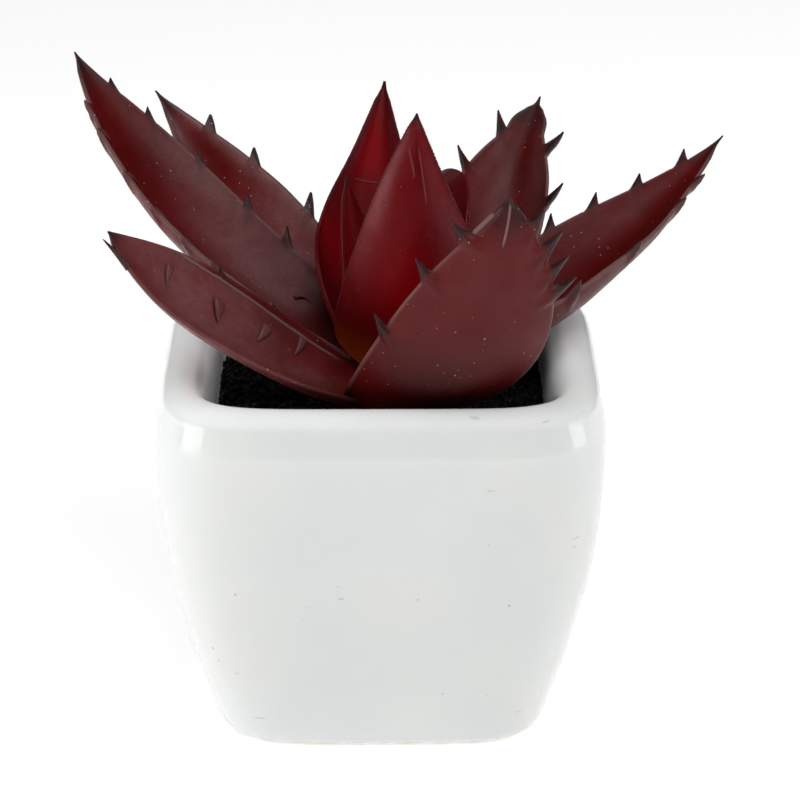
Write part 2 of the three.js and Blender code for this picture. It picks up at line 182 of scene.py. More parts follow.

# "root" to "thickness" are the imported leaves' own values, but for leaf_back: it is a little wider, flatter
# and further right here. Places on a leaf are (station, across): 0 to 1 from root to tip, and -1 to 1 from
# the right margin to the left one.
# "teeth": the left and the right margin's, as (station, length, lean towards the tip in degrees), with
# their "sharpness" and each margin's "darkness". "serration": height of an inner leaf's fine saw.
# The patches of colour, each (strength, station, its spread, across, its spread): the dusty bloom with
# painted sheen, the deep red of painted shade without sheen, the painted glow of light through the leaf, and
# the near-black painted shade.
# "edge": how strong the painted highlight along the margin is. "dark_from": the station where the dark tip
# starts.
# "blunt": a swelling under the tip. "flange": where the strip of painted deep red shade along the right
# margin starts. A leaf may give its base amber, with a painted glow of light through it.
# "welts": low raised lines as (face, half-width, places); face is 1 for the upper and -1 for the lower.
# "claws": flattened thorns that lie on the upper face, as (half-width, places from root to point).
# "marks": the same, but dark. "spikes": free thorns as (place, length, lean, radius).
LEAVES = [
    dict(name="inner_leaf_front", root=(5.4, -3, 59), heading=278, sweep=-32, rise=(48.5, 104.5),
         length=53, half_width=13.8, base_ratio=.55, belly=.21, taper=(1.55, 1.05), channel=(40, 15),
         roll=(5, 6), thickness=2.0, teeth=((), ()), inner=True, serration=0.16, amber_glow=0.85,
         bloom=((.9, .7, .25, -.8, .22), (.65, .66, .3, .7, .4), (.35, .93, .1, 0, 1)),
         deep_shade=((1, .85, .11, .22, .13),), through_light=((1, .42, .22, -.15, .45),),
         welts=((-1, .17, ((.9, -.22), (.86, -.03), (.82, .08), (.8, .04))),
                (-1, .15, ((.9, .34), (.82, .36), (.72, .34))))),
    dict(name="leaf_front_right", root=(-.8, -10.9, 56.9), heading=296, sweep=31.5, rise=(14.5, 89),
         length=61, half_width=12.8, base_ratio=.44, belly=.45, taper=(2.45, 1.1), channel=(12, 18),
         roll=(-12, -56.5), thickness=2.4, edge=.35,
         teeth=(((.74, 4.3, 45), (.793, 4, 55), (.85, 4.2, 55), (.913, 3.5, 60)),
                ((.463, 3.7, 40), (.71, 3.4, 40), (.863, 3.4, 35))),
         bloom=((.2, .78, .22, -.2, 1.2),), deep_shade=((.9, .5, .2, .1, .6),),
         shade=((.95, .3, .19, .3, 1.2), (.15, .7, .3, 0, 2)),
         welts=((-1, .2, ((.985, .1), (.95, 0), (.9, -.06), (.87, -.08))),
                (-1, .42, ((.885, -.99), (.92, -.985), (.955, -.97))))),
    dict(name="leaf_front_left", root=(1, -9, 56.4), heading=205.5, sweep=-28, rise=(25, 45.5),
         length=58, half_width=10.2, base_ratio=.42, belly=.39, taper=(2.8, 1.1), channel=(31, 19),
         roll=(-10.5, -26.5), thickness=2.4, teeth=((), ((.4, 1.5, 50), (.62, 1.5, 50))),
         bloom=((.95, .65, .32, 0, 1.6), (.6, .3, .2, .3, .6)), deep_shade=((.4, .12, .12, .6, .6),),
         flange=-.84, dark_from=.93, edge=.12,
         welts=((1, .3, ((.8, -.97), (.74, -.9), (.652, -.86), (.488, -.85), (.362, -.8), (.218, -.78),
                         (.125, -.83))),),
         claws=((.9, ((.79, -.55), (.782, -.1), (.77, .2))), (1.35, ((.607, -.45), (.6, -.1), (.592, .18))),
                (1.15, ((.42, -.55), (.437, -.3), (.455, -.02))),
                (1.0, ((.285, -.78), (.3, -.5), (.32, -.22)))),
         spikes=(((.9, .9), 6.5, 117, .8),)),
    dict(name="leaf_left", root=(-3.7, 3.2, 59), heading=155.5, sweep=-9, rise=(23.5, 57),
         length=75.5, half_width=10.7, base_ratio=.45, belly=.3, taper=(3, 1.3), channel=(65, 25),
         roll=(-1.5, -4.5), thickness=2.4, darkness=(.35, 1),
         teeth=(((.367, 1.8, 40), (.46, 1.4, 60), (.563, 1.3, 60), (.67, 1.3, 60), (.787, 1.6, 65),
                 (.85, 2.2, 70)),
                ((.327, 3, 40), (.457, 2.5, 50), (.62, 2.1, 60), (.777, 2.1, 70), (.88, 2, 80))),
         bloom=((1, .33, .26, -.35, .65), (.75, .57, .18, -.75, .45)),
         deep_shade=((1, .7, .18, .25, .5), (.9, .13, .05, -.5, .5)),
         claws=((.5, ((.47, .93), (.455, .8), (.445, .62))), (.5, ((.57, .93), (.553, .8), (.54, .62))),
                (.45, ((.675, .92), (.66, .8), (.65, .66))), (.4, ((.79, .9), (.78, .8), (.77, .66)))),
         marks=((.5, ((.224, -.36), (.211, -.46), (.2, -.51), (.184, -.5))),)),
    dict(name="leaf_right", root=(7.5, -1.7, 56.5), heading=22.5, sweep=22, rise=(25.5, 30.5),
         length=73, half_width=12.5, base_ratio=.45, belly=.31, taper=(2.05, 1.5), channel=(69, 22),
         roll=(-1, .5), thickness=2.4, darkness=(1, .6),
         teeth=(((.513, 3, 45), (.633, 3, 58), (.753, 2.7, 60), (.873, 3, 60)),
                ((.363, 3, 35), (.55, 2.6, 35), (.74, 1.8, 60), (.823, 2.4, 50))),
         bloom=((.42, .66, .2, .45, .45), (.22, .4, .15, .4, .5)), deep_shade=((1, .6, .28, -.55, .45),),
         shade=((.35, .55, .3, -.7, .5), (.15, .6, .4, .3, .6))),
    dict(name="inner_leaf_back", root=(-2.7, 3.4, 63.1), heading=89, sweep=-8.5, rise=(36, 47.5),
         length=53, half_width=13.4, base_ratio=.5, belly=.29, taper=(1.25, 1.25), channel=(74, 80),
         roll=(11, 16.5), thickness=2.0, teeth=((), ()), inner=True, serration=0.14,
         bloom=((.7, .72, .3, .95, .3), (.5, .78, .2, -.8, .35), (.35, .95, .08, 0, 1)),
         deep_shade=((.9, .45, .14, 0, 1.2),), through_light=((1, .74, .14, .1, .6), (.8, .36, .13, .85, .35)),
         welts=((1, .16, ((.6, .53), (.606, .2), (.61, -.15))),)),
    dict(name="leaf_back_right", root=(11.8, 5.5, 56.8), heading=77, sweep=-9.5, rise=(23, 36),
         length=68, half_width=9.8, base_ratio=.4, belly=.48, taper=(2.4, 1.6), channel=(62, 46),
         roll=(19, 2.5), thickness=2.4, blunt=.62, dark_from=.8,
         teeth=(((.673, 4, 30), (.837, 4, 55)), ((.597, 4.5, 30), (.797, 5, 15))),
         bloom=((.62, .76, .14, .6, .35), (.5, .7, .22, -.75, .35), (.35, .62, .1, .4, .5)),
         deep_shade=((1, .7, .24, -.02, .25),)),
    dict(name="leaf_back_left", root=(-3.6, 7.9, 57.8), heading=122, sweep=7.5, rise=(24, 31),
         length=73.5, half_width=8.4, base_ratio=.4, belly=.37, taper=(2, 1.4), channel=(47, 38),
         roll=(-15.5, -35.5), thickness=2.4, sharpness=.95,
         teeth=(((.5, 3.2, 40), (.68, 3, 40)), ((.427, 3.5, 35), (.64, 2.6, 48), (.803, 2.6, 40))),
         bloom=((1, .42, .18, -.35, .7), (.5, .87, .07, 0, 1)), deep_shade=((.9, .72, .12, -.1, .6),)),
    dict(name="inner_leaf_small", root=(-1.6, 1.4, 60), heading=130.5, sweep=.5, rise=(74.5, 82.5),
         length=32, half_width=5, base_ratio=.6, belly=.3, taper=(1.6, 1.1), channel=(60, 40),
         roll=(0, 0), thickness=1.4, teeth=((), ()), inner=True,
         deep_shade=((.8, .6, .4, -.3, 1),), through_light=((.45, .5, .3, .4, .5),)),
    dict(name="leaf_back", root=(2.9, 9.7, 59.9), heading=87.5, sweep=2, rise=(56, -35),
         length=61.5, half_width=12.8, base_ratio=.4, belly=.44, taper=(2.2, 1.1), channel=(35, 30),
         roll=(-1.5, -9), thickness=2.4,
         teeth=(((.3, 2.4, 40), (.84, 1.3, 60)), ((.27, 2.4, 40), (.8, 1.3, 60), (.88, 1.3, 60))),
         deep_shade=((1, .55, .4, 0, 2),), through_light=((.45, .55, .25, 0, 2),), edge=0.0),
]


# ------------------------------------------------------------------ mesh helpers

def add_object(name, data):
    made = bpy.data.objects.new(name, data)
    bpy.context.scene.collection.objects.link(made)
    return made


def make_mesh(name, points, faces, material, smooth=True, values=None, uv=None):
    """A mesh object from points in millimetres, with float attributes for its material."""
    mesh = bpy.data.meshes.new(name)
    mesh.from_pydata((np.asarray(points) * MM).tolist(), [], faces)
    mesh.materials.append(material)
    for key, numbers in (values or {}).items():
        attribute = mesh.attributes.new(key, "FLOAT", "POINT")
        attribute.data.foreach_set("value", np.asarray(numbers, np.float32))
    if uv is not None:
        loops = np.empty(len(mesh.loops), np.int32)
        mesh.loops.foreach_get("vertex_index", loops)
        mesh.uv_layers.new(name="UVMap").data.foreach_set("uv", np.asarray(uv, np.float32)[loops].ravel())
    mesh.polygons.foreach_set("use_smooth", [smooth] * len(mesh.polygons))
    mesh.update()
    return add_object(name, mesh)


def tube_faces(rows, columns):
    """Quads round closed rings that are stacked in rows, and a cap on the first and on the last ring."""
    r, c = np.meshgrid(np.arange(rows - 1), np.arange(columns), indexing="ij")
    n = (c + 1) % columns
    quads = np.stack([r * columns + c, r * columns + n, (r + 1) * columns + n, (r + 1) * columns + c], -1)
    last = (rows - 1) * columns
    caps = [list(range(columns))[::-1], [last + i for i in range(columns)]]
    return quads.reshape(-1, 4).tolist() + caps


def between(pair, s):
    return pair[0] + (pair[1] - pair[0]) * s


def smoothstep(x):
    x = np.clip(x, 0, 1)
    return x * x * (3 - 2 * x)


def rising(x, start, reach):
    """0 up to start and 1 from a reach further on, eased at both ends."""
    return smoothstep((x - start) / reach)


def smooth_curve(points, step):
    """A Catmull-Rom curve through points, resampled at about the given step."""
    p = np.asarray(points, float)
    p = np.vstack([2 * p[0] - p[1], p, 2 * p[-1] - p[-2]])
    out = []
    for i in range(1, len(p) - 2):
        count = max(1, math.ceil(np.linalg.norm(p[i + 1] - p[i]) / step))
        t = (np.arange(count) / count)[:, None]
        out.append(0.5 * (2 * p[i] + (p[i + 1] - p[i - 1]) * t
                          + (2 * p[i - 1] - 5 * p[i] + 4 * p[i + 1] - p[i + 2]) * t ** 2
                          + (3 * p[i] - p[i - 1] - 3 * p[i + 1] + p[i + 2]) * t ** 3))
    return np.vstack(out + [p[-2:-1]])


# ------------------------------------------------------------------ materials

class Nodes:
    """A material's node tree, with short calls to add and join nodes."""

    def __init__(self, name):
        self.material = bpy.data.materials.new(name)
        self.material.use_nodes = True
        self.tree = self.material.node_tree
        self.shader = self.tree.nodes["Principled BSDF"]

    def add(self, kind, inputs=None, **settings):
        node = self.tree.nodes.new(kind)
        for key, value in settings.items():
            setattr(node, key, value)
        for key, value in (inputs or {}).items():
            self.set(node.inputs[key], value)
        return node

    def set(self, socket, value):
        if isinstance(value, bpy.types.NodeSocket):
            self.tree.links.new(value, socket)
        else:
            socket.default_value = value

    def principled(self, **inputs):
        for key, value in inputs.items():
            self.set(self.shader.inputs[key.replace("_", " ")], value)

    def place(self):
        return self.add("ShaderNodeTexCoord").outputs["Object"]

    def attribute(self, name):
        return self.add("ShaderNodeAttribute", attribute_name=name).outputs["Fac"]

    def noise(self, scale, detail=2.0, roughness=0.5, vector=None):
        """Noise whose scale is in waves per millimetre."""
        return self.add("ShaderNodeTexNoise", {"Vector": vector or self.place(), "Scale": scale / MM,
                                               "Detail": detail, "Roughness": roughness}).outputs["Fac"]

    def math(self, operation, a, b=0.0, clamp=False):
        node = self.add("ShaderNodeMath", {0: a, 1: b}, operation=operation, use_clamp=clamp)
        return node.outputs[0]

    def stretched(self, x, y, z):
        """The place with each axis scaled, for patterns that are longer one way."""
        node = self.add("ShaderNodeVectorMath", {0: self.place(), 1: (x, y, z)}, operation="MULTIPLY")
        return node.outputs[0]

    def spots(self, scale):
        """How far each place is from the nearest of scattered points, as many as scale per millimetre."""
        node = self.add("ShaderNodeTexVoronoi", {"Vector": self.place(), "Scale": scale / MM}, feature="F1")
        return node.outputs["Distance"]

    def ramp(self, value, low, high, to_low=0.0, to_high=1.0):
        return self.add("ShaderNodeMapRange", {"Value": value, "From Min": low, "From Max": high,
                                               "To Min": to_low, "To Max": to_high},
                        interpolation_type="SMOOTHSTEP").outputs["Result"]

    def mix(self, factor, a, b):
        node = self.add("ShaderNodeMix", data_type="RGBA")
        self.set(node.inputs[0], factor)
        self.set(node.inputs[6], a)
        self.set(node.inputs[7], b)
        return node.outputs[2]

    def bump(self, height, distance, strength=1.0, normal=None):
        """A bump whose distance is in millimetres."""
        node = self.add("ShaderNodeBump", {"Height": height, "Distance": distance * MM, "Strength": strength})
        if normal is not None:
            self.set(node.inputs["Normal"], normal)
        return node.outputs["Normal"]


def colour(r, g, b):
    return (r, g, b, 1.0)


GLAZE_COOL = colour(0.69, 0.71, 0.71)
GLAZE_WARM = colour(0.72, 0.73, 0.71)
GLAZE_SHADE = colour(0.66, 0.695, 0.70)
GLAZE_FOOT = colour(0.42, 0.35, 0.25)
GLAZE_MARK = colour(0.27, 0.26, 0.24)
LEAF_BASE = (colour(0.082, 0.0016, 0.0020), colour(0.120, 0.0034, 0.0038))
# the dusty bloom, mixed with painted sheen where the leaves mirror the lights
LEAF_BLOOM_SHEEN = colour(0.170, 0.060, 0.062)
LEAF_FLECK = colour(0.040, 0.002, 0.003)
LEAF_TIP = colour(0.019, 0.0095, 0.0105)
# painted highlight along outer leaves' margins and welts, where they catch the light
LEAF_MARGIN_HIGHLIGHT = colour(0.19, 0.120, 0.117)
LEAF_DUST = colour(0.55, 0.36, 0.30)
INNER_BASE = (colour(0.095, 0.0005, 0.0022), colour(0.150, 0.0006, 0.0030))
# painted light: bright crimson where light comes through the leaf
INNER_THROUGH_LIGHT = colour(0.25, 0.0004, 0.0030)
# the inner leaves' dusty bloom, mixed with painted sheen where they mirror the lights
INNER_BLOOM_SHEEN = colour(0.195, 0.036, 0.042)
INNER_MARGIN = colour(0.020, 0.002, 0.003)
# the thin base's amber colour, made bright as painted light coming through it
INNER_AMBER_GLOW = colour(0.5, 0.085, 0.008)
LEAF_SHADE = colour(0.022, 0.0006, 0.0008)
# painted glow: an emission that stands in for light coming through the amber base
INNER_LIT = colour(1.0, 0.16, 0.01)  # light that comes through the amber base
INNER_LIT_STRENGTH = 0.05
SOIL_COLOURS = (colour(0.0007, 0.0006, 0.0007), colour(0.0065, 0.006, 0.0065))
STEM_COLOURS = (colour(0.05, 0.004, 0.004), colour(0.14, 0.01, 0.012))
FLOOR_COLOURS = (colour(0.86, 0.86, 0.86), colour(0.88, 0.88, 0.88))
GLAZE_IOR = 1.55
LEAF_IOR = 1.27
INNER_IOR = 1.18
LEAF_SUBSURFACE = 0.08
INNER_SUBSURFACE = 0.2
SUBSURFACE_RADIUS = (1.0, 0.06, 0.05)
SUBSURFACE_DEPTH = 2.0  # millimetres
LEAF_DUSTINESS = 0.75
INNER_DUSTINESS = 0.15


def glaze_material():
    """Glossy white glaze: faint clouds and streaks, specks, small scratches and a bare foot line."""
    n = Nodes("glaze")
    body = n.mix(n.ramp(n.noise(0.05, 3.0), 0.35, 0.7), GLAZE_COOL, GLAZE_WARM)
    streaks = n.noise(0.6, 3.0, 0.6, n.stretched(0.12, 0.12, 1.0))
    body = n.mix(n.ramp(streaks, 0.5, 0.8, 0.0, 0.12), body, GLAZE_SHADE)
    height = n.add("ShaderNodeSeparateXYZ", {0: n.place()}).outputs["Z"]
    foot = n.ramp(height, 0.3 * MM, 1.5 * MM, 1.0, 0.0)
    worn = n.math("MULTIPLY", foot, n.ramp(n.noise(0.35, 3.0), 0.4, 0.6, 0.25, 0.8))
    body = n.mix(worn, body, GLAZE_FOOT)
    pits = n.ramp(n.spots(0.2), 0.03, 0.055, 1.0, 0.0)
    speck = n.math("MULTIPLY", pits, n.ramp(n.noise(0.06), 0.52, 0.6))
    lines = n.noise(1.6, 1.0, 0.5, n.stretched(0.12, 0.12, 1.0))
    scratch = n.math("MULTIPLY", n.ramp(lines, 0.70, 0.74), n.ramp(n.noise(0.11, 1.0), 0.62, 0.7))
    mark = n.math("MAXIMUM", speck, scratch)
    body = n.mix(n.math("MULTIPLY", mark, 0.6), body, GLAZE_MARK)
    wave = n.bump(n.noise(0.05, 1.0), 0.4, 0.3)
    ripple = n.bump(n.noise(0.3, 2.0), 0.02, 0.25, wave)
    n.principled(Base_Color=body, Roughness=n.ramp(n.noise(0.3, 3.0), 0.3, 0.7, 0.04, 0.08),
                 Normal=n.bump(mark, 0.05, 0.6, ripple), IOR=GLAZE_IOR)
    return n.material


def soil_material():
    n = Nodes("soil")
    n.principled(Base_Color=n.mix(n.noise(1.3, 3.0), *SOIL_COLOURS), Specular_IOR_Level=0.18,
                 Roughness=n.ramp(n.noise(2.0), 0.3, 0.7, 0.35, 0.8),
                 Normal=n.bump(n.noise(3.0, 3.0), 0.12, 0.7))
    return n.material


def stem_material():
    n = Nodes("stem")
    n.principled(Base_Color=n.mix(n.noise(0.5), *STEM_COLOURS),
                 Roughness=n.ramp(n.noise(0.8), 0.3, 0.7, 0.4, 0.6),
                 Normal=n.bump(n.noise(1.5, 3.0), 0.1, 0.5))
    return n.material


def leaf_material(name, inner):
    """Translucent moulded burgundy under a dusty bloom with painted sheen, darker at the tip and teeth, with
    painted shade, a painted glow where light comes through and a painted highlight along outer margins.
    """
    n = Nodes(name)
    tip, tooth, rim, amber_glow, shade, bloom, deep_shade, through_light = (
        n.attribute(k) for k in ("tip", "tooth", "rim", "amber_glow", "shade", "bloom", "deep_shade", "through_light"))
    base, bloom_sheen_colour = (INNER_BASE, INNER_BLOOM_SHEEN) if inner else (LEAF_BASE, LEAF_BLOOM_SHEEN)
    cloud = n.noise(0.07, 3.0, 0.55)
    body = n.mix(n.ramp(cloud, 0.3, 0.7), *base)
    # painted light: bright crimson where light comes through the leaf
    body = n.mix(n.math("MULTIPLY", through_light, 0.9), body, INNER_THROUGH_LIGHT)
    # the amber base gets a painted glow: its colour and an emission stand in for light coming through it
    if inner:  # light comes through the thin amber base
        body = n.mix(amber_glow, body, INNER_AMBER_GLOW)
        n.principled(Emission_Color=INNER_LIT,
                     Emission_Strength=n.math("MULTIPLY", amber_glow, INNER_LIT_STRENGTH))
    # the dusty bloom, with painted sheen where the leaves mirror the lights
    patchy = n.math("MULTIPLY", bloom, n.ramp(n.noise(0.16, 4.0, 0.6), 0.25, 0.65, 0.6, 1.1))
    grains = n.ramp(n.noise(2.6, 3.0, 0.7), 0.35, 0.65, 0.78, 1.1)
    body = n.mix(n.math("MULTIPLY", patchy, grains, clamp=True), body, bloom_sheen_colour)
    body = n.mix(n.ramp(n.noise(0.9, 4.0, 0.6), 0.5, 0.8, 0.0, 0.35), body, LEAF_FLECK)
    # painted shade: the base's darker red where the leaf lies in shade and shows no sheen
    body = n.mix(n.math("MULTIPLY", deep_shade, 0.9), body, base[0])
    body = n.mix(shade, body, LEAF_SHADE)
    # the margin line: a painted highlight on outer leaves, the margin's own dark colour on inner ones
    body = n.mix(rim, body, INNER_MARGIN if inner else LEAF_MARGIN_HIGHLIGHT)
    dark = n.math("MAXIMUM", tip, tooth)
    edge = n.ramp(n.noise(0.5, 3.0), 0.3, 0.7, -0.2, 0.2)
    dark = n.math("MULTIPLY", n.math("ADD", dark, n.math("MULTIPLY", edge, dark), clamp=True), 0.9)
    body = n.mix(dark, body, LEAF_TIP)
    size = n.ramp(n.noise(0.8, 1.0), 0.38, 0.68, 0.0, 0.15)
    dots = n.ramp(n.math("SUBTRACT", size, n.spots(0.95)), 0.0, 0.04)
    dust = n.math("MULTIPLY", dots, n.ramp(n.noise(0.12, 2.0), 0.41, 0.55))
    body = n.mix(n.math("MULTIPLY", dust, INNER_DUSTINESS if inner else LEAF_DUSTINESS), body, LEAF_DUST)
    grain = n.bump(n.noise(2.2, 4.0, 0.6), 0.05, 0.35, n.bump(n.noise(0.22, 2.0), 0.35, 0.3))
    n.principled(Base_Color=body, Roughness=n.ramp(n.noise(0.35, 3.0), 0.3, 0.7, 0.34, 0.46),
                 Normal=n.bump(dust, 0.1, 0.5, grain), IOR=INNER_IOR if inner else LEAF_IOR,
                 Subsurface_Weight=INNER_SUBSURFACE if inner else LEAF_SUBSURFACE,
                 Subsurface_Radius=SUBSURFACE_RADIUS, Subsurface_Scale=SUBSURFACE_DEPTH * MM)
    return n.material


# ------------------------------------------------------------------ pot

def plan(half_width, segments, corner):
    """Points round a superellipse, counter-clockwise, closer together at its corners."""
    even = np.arange(segments) / segments * 2 * np.pi
    angle = even - CORNER_CROWDING * np.sin(4 * even) / 4
    radius = (np.abs(np.cos(angle)) ** corner + np.abs(np.sin(angle)) ** corner) ** (-1 / corner)
    return half_width * np.stack([radius * np.cos(angle), radius * np.sin(angle)], -1)


def make_pot(material):
    arc = np.linspace(0, math.pi / 2, RIM_STEPS)
    rim = np.stack([RIM_SPRING + RIM_RISE * np.sin(arc), RIM_CENTRE + RIM_HALF_WIDTH * np.cos(arc)], -1)
    outline = smooth_curve(POT_OUTER + rim.tolist() + RIM_SLOPE + POT_INNER, PROFILE_STEP)
    height, half_width = outline.T
    inward = np.clip((RIM_CENTRE - half_width) / (RIM_CENTRE - RIM_SLOPE[-1][1]), 0, 1)
    inward[height < RIM_SPRING] = 1
    inward[:height.argmax()] = 0
    corner = between((POT_CORNER, THROAT_CORNER), inward)
    foot_edge = POT_OUTER[0][1]
    foot = [(FOOT_RECESS, RECESS_CAP), (FOOT_RECESS, foot_edge - FOOT_SLOPE_END), (0, foot_edge - FOOT_STAND)]
    outline = np.vstack([foot, outline, [[POT_INNER[-1][0], FLOOR_CAP]]])
    corner = np.concatenate([[POT_CORNER] * len(foot), corner, [THROAT_CORNER]])
    rings = [np.column_stack([plan(w, POT_SEGMENTS, c), np.full(POT_SEGMENTS, z)])
             for (z, w), c in zip(outline, corner)]
    return make_mesh("pot_glazed", np.vstack(rings), tube_faces(len(rings), POT_SEGMENTS), material)


# ------------------------------------------------------------------ soil

def soil_height(x, y):
    """The lumpy level of the soil, with a shallow hole round the crown."""
    lumps = sum(height * np.sin(along_x * x + along_y * y + start)
                for height, along_x, along_y, start in SOIL_WAVES)
    hole = CROWN_HOLE_DEPTH * np.exp(-(x ** 2 + y ** 2) / CROWN_HOLE_SPREAD)
    return SOIL_LEVEL - SOIL_BED + lumps * SOIL_WAVE_SHARE - hole


GOLDEN = (1 + 5 ** 0.5) / 2
ICOSAHEDRON = np.array([(-1, GOLDEN, 0), (1, GOLDEN, 0), (-1, -GOLDEN, 0), (1, -GOLDEN, 0), (0, -1, GOLDEN),
                        (0, 1, GOLDEN), (0, -1, -GOLDEN), (0, 1, -GOLDEN), (GOLDEN, 0, -1), (GOLDEN, 0, 1),
                        (-GOLDEN, 0, -1), (-GOLDEN, 0, 1)]) / math.hypot(1, GOLDEN)
ICOSAHEDRON_SIDES = [(0, 11, 5), (0, 5, 1), (0, 1, 7), (0, 7, 10), (0, 10, 11), (1, 5, 9), (5, 11, 4),
                     (11, 10, 2), (10, 7, 6), (7, 1, 8), (3, 9, 4), (3, 4, 2), (3, 2, 6), (3, 6, 8),
                     (3, 8, 9), (4, 9, 5), (2, 4, 11), (6, 2, 10), (8, 6, 7), (9, 8, 1)]


def make_soil(material):
    rng = np.random.default_rng(GRAIN_SEED)
    rings, segments = SOIL_CELLS // 2, SOIL_CELLS * 2
    outer = plan(SOIL_HALF_WIDTH, segments, THROAT_CORNER)
    points = [np.column_stack([outer * SOIL_FOOT, np.full(segments, SOIL_BOTTOM)]),
              np.column_stack([outer * SOIL_WALL, np.full(segments, SOIL_LEVEL - SOIL_SHOULDER)])]
    for share in np.linspace(*SOIL_TOP_RINGS, rings):
        xy = outer * share
        z = soil_height(xy[:, 0], xy[:, 1]) + rng.normal(0, SOIL_GRIT, segments)
        points.append(np.column_stack([xy, z]))
    faces = tube_faces(len(points), segments)
    points = np.vstack(points)

    grains = []
    offset = len(points)
    limit = (SOIL_HALF_WIDTH - GRAIN_CLEARANCE) ** THROAT_CORNER
    while len(grains) < GRAIN_COUNT:
        x, y = rng.uniform(-SOIL_HALF_WIDTH, SOIL_HALF_WIDTH, 2)
        radius = rng.uniform(*GRAIN_RADIUS)
        if abs(x) ** THROAT_CORNER + abs(y) ** THROAT_CORNER > limit:
            continue
        stretch = rng.uniform(*GRAIN_STRETCH, 3)
        turn, _ = np.linalg.qr(rng.normal(size=(3, 3)))
        shape = ICOSAHEDRON * rng.uniform(*GRAIN_CORNERS, (len(ICOSAHEDRON), 1)) * radius * stretch @ turn
        z = soil_height(x, y) + rng.uniform(*GRAIN_LIFT)
        grains.append(shape + (x, y, z))
        order = 1 if np.linalg.det(turn) > 0 else -1
        faces += [[offset + a, offset + b, offset + c][::order] for a, b, c in ICOSAHEDRON_SIDES]
        offset += len(ICOSAHEDRON)
    return make_mesh("soil_granules", np.vstack([points] + grains), faces, material, smooth=False)


# ------------------------------------------------------------------ leaves

def half_width_at(leaf, s):
    belly = leaf["belly"]
    below = 1 - (1 - leaf["base_ratio"]) * (np.clip(belly - s, 0, None) / belly) ** 2
    run = np.clip(s - belly, 0, None) / (1 - belly)
    beyond = np.clip(1 - run ** leaf["taper"][0], 0, 1) ** leaf["taper"][1]
    shoulder = leaf.get("blunt", 0) * rising(s, *BLUNT_RISE) * (1 - rising(s, *BLUNT_FALL))
    return (leaf["half_width"] * np.where(s < belly, below, beyond) * (1 + shoulder)
            + SPINE_HALF_WIDTH * (1 - SPINE_TAPER * s))


def midrib(leaf, s):
    """Points, directions, left sides and upper normals of the midrib at stations s."""
    t = (np.arange(RIB_STEPS) + 0.5) / RIB_STEPS

    def course(t):
        heading = np.radians(leaf["heading"] + leaf["sweep"] * t)
        rise = np.radians(between(leaf["rise"], t))
        return np.stack([np.cos(rise) * np.cos(heading), np.cos(rise) * np.sin(heading), np.sin(rise)], -1)

    path = np.vstack([[0, 0, 0], np.cumsum(course(t) * leaf["length"] / RIB_STEPS, 0)]) + leaf["root"]
    fine = np.arange(RIB_STEPS + 1) / RIB_STEPS
    point = np.stack([np.interp(s, fine, path[:, i]) for i in range(3)], -1)
    along = course(s)
    heading = np.radians(leaf["heading"] + leaf["sweep"] * s)
    level = np.stack([-np.sin(heading), np.cos(heading), 0 * heading], -1)
    upper = np.cross(along, level)
    roll = np.radians(between(leaf["roll"], s))[:, None]
    side = level * np.cos(roll) + upper * np.sin(roll)
    return point, along, side, upper * np.cos(roll) - level * np.sin(roll)


def stations(leaf):
    """Stations along a leaf, closer together at its tip and round its teeth."""
    parts = [np.linspace(0, 1, BLADE_STATIONS), 1 - np.linspace(0, 0.5, TIP_STATIONS) ** 3]
    if leaf.get("serration"):
        parts.append(np.linspace(0, 1, int(leaf["length"] / SERRATION_SAMPLING)))
    reach = TOOTH_HALF_BASE / leaf["length"]
    spread = np.linspace(-1, 1, TOOTH_STATIONS + 1)
    for tooth in leaf["teeth"][0] + leaf["teeth"][1]:
        parts.append(tooth[0] + reach * np.sign(spread) * np.abs(spread) ** STATION_CROWDING)
    s = np.unique(np.clip(np.round(np.concatenate(parts), 5), 0, 1))
    keep = np.concatenate([[True], np.diff(s) > STATION_LEAST_STEP])
    return s[keep]


def patches(leaf, key, s, across):
    """How strong a leaf's patches of one kind are at each place."""
    total = 0 * s * across
    for strength, station, reach, place, width in leaf.get(key, ()):
        near = np.exp(-((s - station) / reach) ** 2 - ((across - place) / width) ** 2)
        total = np.maximum(total, strength * near)
    return total


def on_face(grid, s, across, places):
    """Points of a face's grid at places (station, across)."""
    places = np.asarray(places, float)
    row = np.clip(np.interp(places[:, 0], s, np.arange(len(s))), 0, len(s) - 1.001)
    column = np.clip(np.interp(places[:, 1], across, np.arange(len(across))), 0, len(across) - 1.001)
    r, c = row.astype(int), column.astype(int)
    u, v = (row - r)[:, None], (column - c)[:, None]
    return (grid[r, c] * (1 - u) * (1 - v) + grid[r + 1, c] * u * (1 - v)
            + grid[r, c + 1] * (1 - u) * v + grid[r + 1, c + 1] * u * v)


def thorn(path, up, half_widths, half_heights):
    """A closed tapered tube along a path: its points and its faces."""
    tangent = np.gradient(path, axis=0)
    tangent /= np.linalg.norm(tangent, axis=1)[:, None]
    side = np.cross(up, tangent)
    side /= np.linalg.norm(side, axis=1)[:, None]
    up = np.cross(tangent, side)
    turn = np.arange(THORN_SIDES) / THORN_SIDES * 2 * np.pi
    ring = (path[:, None] + side[:, None] * (half_widths[:, None] * np.cos(turn))[..., None]
            + up[:, None] * (half_heights[:, None] * np.sin(turn))[..., None])
    return ring.reshape(-1, 3), tube_faces(len(path), THORN_SIDES)


def dense(places, count):
    """Places spread evenly along a line of places."""
    places = np.asarray(places, float)
    t = np.linspace(0, len(places) - 1, count)
    curve = smooth_curve(places, np.ptp(places, axis=0).max() / 40)
    return np.stack([np.interp(t / t[-1], np.linspace(0, 1, len(curve)), curve[:, i]) for i in (0, 1)], -1)


